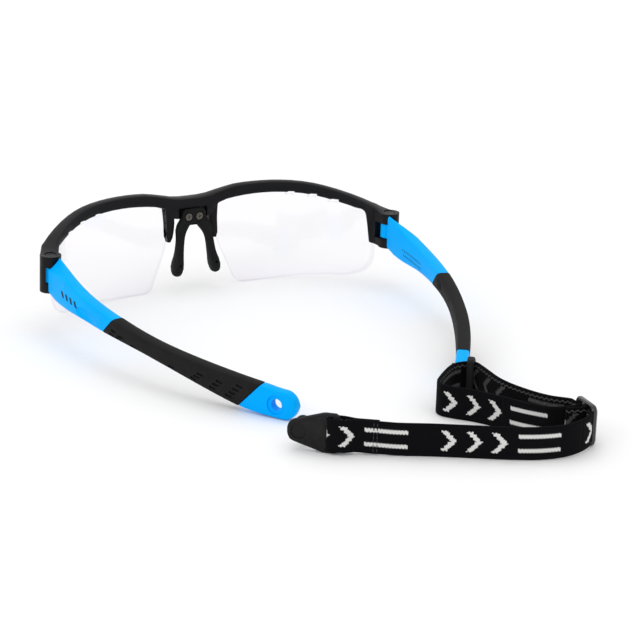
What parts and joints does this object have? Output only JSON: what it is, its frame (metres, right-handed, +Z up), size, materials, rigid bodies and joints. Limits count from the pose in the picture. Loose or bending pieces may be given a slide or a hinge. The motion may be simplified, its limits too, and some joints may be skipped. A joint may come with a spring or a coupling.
{
  "type": "sports protective goggles",
  "caption": "Half-rim sports protective goggles with clear wrap lenses, blue temples with rubber sleeves and a removable elastic head strap.",
  "frame": {"origin": "middle of the whole footprint, strap included, on the surface the goggles stand on", "axes": "+X towards the wearer's right, +Y forward through the lenses, +Z up"},
  "size_m": [0.1396, 0.2046, 0.0356],
  "materials": {
    "satin_black": "satin moulded black plastic",
    "nose_rubber": "matt black rubber",
    "temple_rubber": "matt black rubber skin",
    "tab_rubber": "matt dark grey rubber",
    "azure_plastic": "semi-gloss azure blue plastic",
    "clear_lens": "clear polycarbonate with a faint coating tint",
    "screw_metal": "dull nickelled brass",
    "stud_plastic": "matt black plastic",
    "slider_plastic": "glossy black plastic",
    "webbing": "black woven elastic with light woven bars",
    "hinge_screw": "black oxide steel"
  },
  "bodies": {
    "frame": {"frame_front": "satin_black", "left_lens": "clear_lens", "right_lens": "clear_lens", "nose_piece": "nose_rubber", "left_nose_screw": "screw_metal", "right_nose_screw": "screw_metal", "left_hinge_screw": "hinge_screw", "right_hinge_screw": "hinge_screw"},
    "left_temple": {"left_temple": "azure_plastic", "left_temple_sleeve": "temple_rubber"},
    "right_temple": {"right_temple": "azure_plastic", "right_temple_sleeve": "temple_rubber"},
    "strap": {"right_strap_tab": "tab_rubber", "right_strap_stud": "stud_plastic", "strap_webbing": "webbing"},
    "slider": {"strap_slider": "slider_plastic"},
    "left_end": {"left_strap_tab": "tab_rubber", "left_strap_stud": "stud_plastic"}
  },
  "joints": [
    {"name": "left_temple_fold", "type": "hinge", "parent": "frame", "child": "left_temple", "pos_m": [-0.0662, 0.0721, 0.02], "axis": [0, 0, 1], "range_deg": [0, 72]},
    {"name": "right_temple_fold", "type": "hinge", "parent": "frame", "child": "right_temple", "pos_m": [0.0662, 0.0721, 0.02], "axis": [0, 0, -1], "range_deg": [-3.8, 56], "deforming": ["strap_webbing"]},
    {"name": "strap_swivel", "type": "hinge", "parent": "right_temple", "child": "strap", "pos_m": [0.0334, -0.03491, 0.0046], "axis": [-0.8001, 0.5999, 0], "range_deg": [0, 120], "deforming": ["strap_webbing"]},
    {"name": "strap_adjust", "type": "slide", "parent": "strap", "child": "slider", "axis": [0.15, 0.9887, 0], "range_m": [0, 0.008], "deforming": ["strap_webbing"]},
    {"name": "left_tab_swing", "type": "hinge", "parent": "strap", "child": "left_end", "pos_m": [-0.0375, -0.06899, 0.0062], "axis": [0, 0, 1], "range_deg": [-50, 50], "deforming": ["strap_webbing"]}
  ]
}
